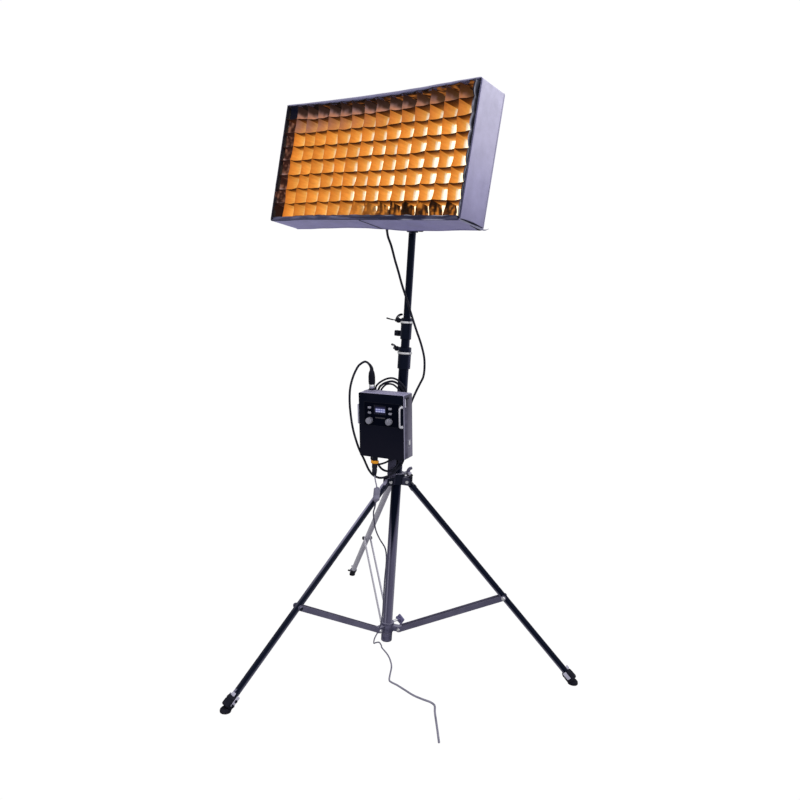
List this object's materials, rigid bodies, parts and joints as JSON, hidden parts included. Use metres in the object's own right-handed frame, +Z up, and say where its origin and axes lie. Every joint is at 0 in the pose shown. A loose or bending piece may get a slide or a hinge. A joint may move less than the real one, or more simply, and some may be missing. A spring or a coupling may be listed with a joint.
{
  "type": "led panel light",
  "caption": "Rectangular LED panel in a fabric softbox with an egg-crate grid, tilting on a telescoping three-leg stand with a cabled control box",
  "frame": {"origin": "on the ground, on the column axis", "axes": "+Z up along the column, the lit face looks to -Y, +X to the right when looking along +Y"},
  "size_m": [1.0658, 0.9835, 1.6643],
  "materials": {
    "column_paint": "gloss black",
    "casting": "satin black casting",
    "tube_steel": "gloss black",
    "bright": "polished",
    "knob": "moulded black",
    "rubber": "matt black",
    "brace_steel": "satin black",
    "case_paint": "fine powder coat",
    "case_side": "anodised grey",
    "display": "lit display",
    "key": "light grey",
    "dial": "grey",
    "board": "circuit board",
    "cable": "cable sheath",
    "softbox_fabric": "coated nylon",
    "grid_fabric": "grid cloth",
    "diffuser": "lit diffuser cloth",
    "mat": "flexible lamp mat",
    "chip": "lamp chips",
    "alu": "anodised",
    "rod": "spring steel"
  },
  "bodies": {
    "column_base": {"base_tube": "column_paint", "base_end_cap": "knob", "brace_collar": "casting", "brace_pins": "bright", "lower_section_collar": "casting", "power_lead": "cable"},
    "brace_knob": {"brace_lock_knob": "knob"},
    "section_knob": {"lower_section_knob": "knob"},
    "hub": {"tripod_hub": "casting", "hub_pins": "bright", "box_bracket": "casting", "case_front": "case_paint", "case_rear": "case_side", "display_panel": "display", "grab_handle": "bright", "main_board": "board", "signal_plug": "knob", "cable_coil": "cable", "lead_adapter": "cable"},
    "hub_knob": {"hub_lock_knob": "knob"},
    "column_middle": {"middle_tube": "column_paint", "upper_section_collar": "casting"},
    "upper_tee": {"upper_tee_handle": "knob"},
    "upper_knob": {"upper_collar_knob": "knob"},
    "column_top": {"top_tube": "column_paint", "top_stud": "bright", "panel_cable": "cable"},
    "pan_head": {"pan_receiver": "casting", "tilt_bolt": "bright"},
    "pan_knob": {"pan_lock_knob": "knob"},
    "lock_lever": {"tilt_lever": "knob"},
    "panel": {"tilt_arm": "alu", "mount_plate": "alu", "mount_screws": "bright", "support_rods": "rod", "led_mat": "mat", "led_chips": "chip", "front_diffuser": "diffuser", "softbox_shell": "softbox_fabric", "fabric_grid": "grid_fabric", "cable_gland": "knob"},
    "dial_l": {"dial_left": "dial"},
    "dial_r": {"dial_right": "dial"},
    "rocker": {"power_switch": "key"},
    "key_1": {"button_1": "key"},
    "key_2": {"button_2": "key"},
    "key_3": {"button_3": "key"},
    "key_4": {"button_4": "key"},
    "leg_front": {"leg_end_front": "casting", "leg_tube_front": "tube_steel", "foot_front": "rubber"},
    "brace_arm_front": {"brace_front": "brace_steel"},
    "leg_right": {"leg_end_right": "casting", "leg_tube_right": "tube_steel", "foot_right": "rubber"},
    "brace_arm_right": {"brace_right": "brace_steel"},
    "leg_rear": {"leg_end_rear": "casting", "leg_tube_rear": "tube_steel", "foot_rear": "rubber"},
    "brace_arm_rear": {"brace_rear": "brace_steel"}
  },
  "joints": [
    {"name": "hub_slide", "type": "slide", "parent": "column_base", "child": "hub", "axis": [0, 0, 1], "range_m": [0, 0.32344]},
    {"name": "leg_front_fold", "type": "hinge", "parent": "hub", "child": "leg_front", "pos_m": [-0.004, -0.03678, 0.5575], "axis": [0.9942, -0.108, 0], "range_deg": [-0.2, 37.7]},
    {"name": "brace_front_swing", "type": "hinge", "parent": "column_base", "child": "brace_arm_front", "pos_m": [-0.00432, -0.03977, 0.072], "axis": [-0.9942, 0.108, 0], "range_deg": [-0.2, 53.56]},
    {"name": "leg_right_fold", "type": "hinge", "parent": "hub", "child": "leg_right", "pos_m": [0.03385, 0.01493, 0.5575], "axis": [-0.4035, 0.915, 0], "range_deg": [-0.2, 37.7]},
    {"name": "brace_right_swing", "type": "hinge", "parent": "column_base", "child": "brace_arm_right", "pos_m": [0.0366, 0.01614, 0.072], "axis": [0.4035, -0.915, 0], "range_deg": [-0.2, 53.56]},
    {"name": "leg_rear_fold", "type": "hinge", "parent": "hub", "child": "leg_rear", "pos_m": [-0.02986, 0.02185, 0.5575], "axis": [-0.5906, -0.807, 0], "range_deg": [-0.2, 37.7]},
    {"name": "brace_rear_swing", "type": "hinge", "parent": "column_base", "child": "brace_arm_rear", "pos_m": [-0.03228, 0.02362, 0.072], "axis": [0.5906, 0.807, 0], "range_deg": [-0.2, 53.56]},
    {"name": "brace_knob_turn", "type": "hinge", "parent": "column_base", "child": "brace_knob", "pos_m": [0.00324, 0.02983, 0.0815], "axis": [0.108, 0.9942, 0], "continuous": true},
    {"name": "section_knob_turn", "type": "hinge", "parent": "column_base", "child": "section_knob", "pos_m": [-0.03, 0, 0.964], "axis": [-1, 0, 0], "continuous": true},
    {"name": "hub_knob_turn", "type": "hinge", "parent": "hub", "child": "hub_knob", "pos_m": [0.00324, 0.02983, 0.566], "axis": [0.108, 0.9942, 0], "continuous": true},
    {"name": "upper_tee_turn", "type": "hinge", "parent": "column_middle", "child": "upper_tee", "pos_m": [-0.03, 0, 1.0495], "axis": [-1, 0, 0], "continuous": true},
    {"name": "upper_knob_turn", "type": "hinge", "parent": "column_middle", "child": "upper_knob", "pos_m": [-0.03, 0, 1.0108], "axis": [-1, 0, 0], "continuous": true},
    {"name": "pan_knob_turn", "type": "hinge", "parent": "pan_head", "child": "pan_knob", "pos_m": [0.03, 0, 1.324], "axis": [1, 0, 0], "continuous": true},
    {"name": "middle_slide", "type": "slide", "parent": "column_base", "child": "column_middle", "axis": [0, 0, 1], "range_m": [-0.022, 0.7]},
    {"name": "top_slide", "type": "slide", "parent": "column_middle", "child": "column_top", "axis": [0, 0, 1], "range_m": [-0.24, 0.38]},
    {"name": "pan_turn", "type": "hinge", "parent": "column_top", "child": "pan_head", "pos_m": [0, 0, 1.34], "axis": [0, 0, 1], "range_deg": [-90, 90]},
    {"name": "tilt_swing", "type": "hinge", "parent": "pan_head", "child": "panel", "pos_m": [0, 0, 1.462], "axis": [-1, 0, 0], "range_deg": [-25, 75]},
    {"name": "tilt_lever_turn", "type": "hinge", "parent": "pan_head", "child": "lock_lever", "pos_m": [0.02, 0, 1.462], "axis": [1, 0, 0], "range_deg": [-60, 60]},
    {"name": "dial_l_turn", "type": "hinge", "parent": "hub", "child": "dial_l", "pos_m": [-0.02496, -0.11354, 0.75388], "axis": [0.2092, -0.9757, -0.0645], "continuous": true},
    {"name": "dial_r_turn", "type": "hinge", "parent": "hub", "child": "dial_r", "pos_m": [0.03947, -0.10006, 0.75882], "axis": [0.2092, -0.9757, -0.0645], "continuous": true},
    {"name": "key_1_press", "type": "slide", "parent": "hub", "child": "key_1", "axis": [-0.2092, 0.9757, 0.0645], "range_m": [0, 0.0015]},
    {"name": "key_2_press", "type": "slide", "parent": "hub", "child": "key_2", "axis": [-0.2092, 0.9757, 0.0645], "range_m": [0, 0.0015]},
    {"name": "key_3_press", "type": "slide", "parent": "hub", "child": "key_3", "axis": [-0.2092, 0.9757, 0.0645], "range_m": [0, 0.0015]},
    {"name": "key_4_press", "type": "slide", "parent": "hub", "child": "key_4", "axis": [-0.2092, 0.9757, 0.0645], "range_m": [0, 0.0015]},
    {"name": "rocker_tip", "type": "slide", "parent": "hub", "child": "rocker", "axis": [-0.9772, -0.206, -0.0522], "range_m": [0, 0.001]}
  ],
  "couplings": [
    {"joint": "leg_front_fold", "follows": "hub_slide", "rad_per_m": 2.0237},
    {"joint": "brace_front_swing", "follows": "hub_slide", "rad_per_m": 2.8793},
    {"joint": "leg_right_fold", "follows": "hub_slide", "rad_per_m": 2.0237},
    {"joint": "brace_right_swing", "follows": "hub_slide", "rad_per_m": 2.8793},
    {"joint": "leg_rear_fold", "follows": "hub_slide", "rad_per_m": 2.0237},
    {"joint": "brace_rear_swing", "follows": "hub_slide", "rad_per_m": 2.8793}
  ]
}
